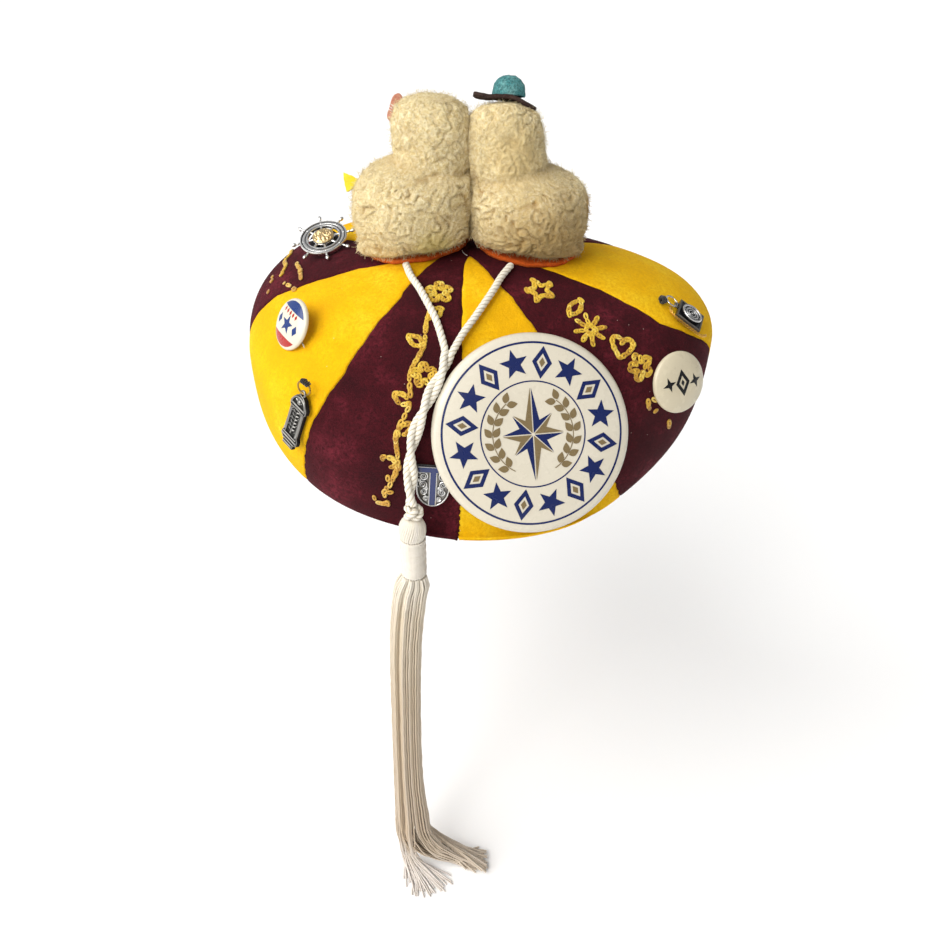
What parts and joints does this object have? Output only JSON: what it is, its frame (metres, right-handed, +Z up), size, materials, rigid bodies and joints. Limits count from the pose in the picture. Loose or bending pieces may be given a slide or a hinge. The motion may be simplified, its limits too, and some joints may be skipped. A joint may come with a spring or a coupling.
{
  "type": "freshman beanie",
  "caption": "Maroon and gold felt gore cap with plush chicks on its crown, pinned badges and charms, and a long cord tassel hanging in front.",
  "frame": {"origin": "middle of the head opening at the rim's mean level", "axes": "+Z up through the crown, -Y towards the front where the tassel hangs, +X to the wearer's left"},
  "size_m": [0.2368, 0.2401, 0.419],
  "materials": {
    "maroon_felt": "matte",
    "gold_felt": "matte",
    "cream_plush": "matte",
    "orange_felt": "matte",
    "teal_felt": "matte",
    "brown_felt": "matte",
    "salmon_felt": "matte",
    "yellow_felt": "matte",
    "ivory_enamel": "gloss",
    "white_enamel": "gloss",
    "banded_enamel": "gloss",
    "silver_metal": "satin",
    "gold_metal": "satin",
    "brass_metal": "satin",
    "pewter_metal": "satin",
    "black_enamel": "satin",
    "blue_enamel": "gloss",
    "black_thread": "matte",
    "ivory_cord": "matte",
    "tassel_silk": "satin"
  },
  "bodies": {
    "root": {"gore_front_gold": "gold_felt", "gore_front_right_maroon": "maroon_felt", "gore_right_gold": "gold_felt", "gore_back_right_maroon": "maroon_felt", "gore_back_left_gold": "gold_felt", "gore_left_maroon": "maroon_felt", "gore_left_gold": "gold_felt", "gore_front_left_maroon": "maroon_felt", "sole_left": "orange_felt", "sole_right": "orange_felt", "chick_left": "cream_plush", "chick_right": "cream_plush", "chick_hat_brim": "brown_felt", "chick_hat_crown": "teal_felt", "felt_scrap_salmon": "salmon_felt", "felt_scrap_yellow": "yellow_felt", "button_large": "ivory_enamel", "button_small": "banded_enamel", "button_plain": "white_enamel", "wheel_pin_frame": "silver_metal", "wheel_pin_backing": "black_enamel", "wheel_pin_hub": "gold_metal", "crest_pin_shield": "silver_metal", "crest_pin_band": "blue_enamel", "charm_left_plaque": "pewter_metal", "charm_left_ring": "brass_metal", "charm_right_plate": "black_enamel", "charm_right_disc": "silver_metal", "charm_right_ring": "silver_metal", "charm_right_thread_knot": "black_thread", "charm_right_chain": "gold_metal", "cord_left": "ivory_cord", "cord_right": "ivory_cord", "cord_knot": "ivory_cord", "tassel_head": "ivory_cord", "tassel_wrap": "ivory_cord", "tassel_skirt": "tassel_silk"}
  },
  "joints": []
}
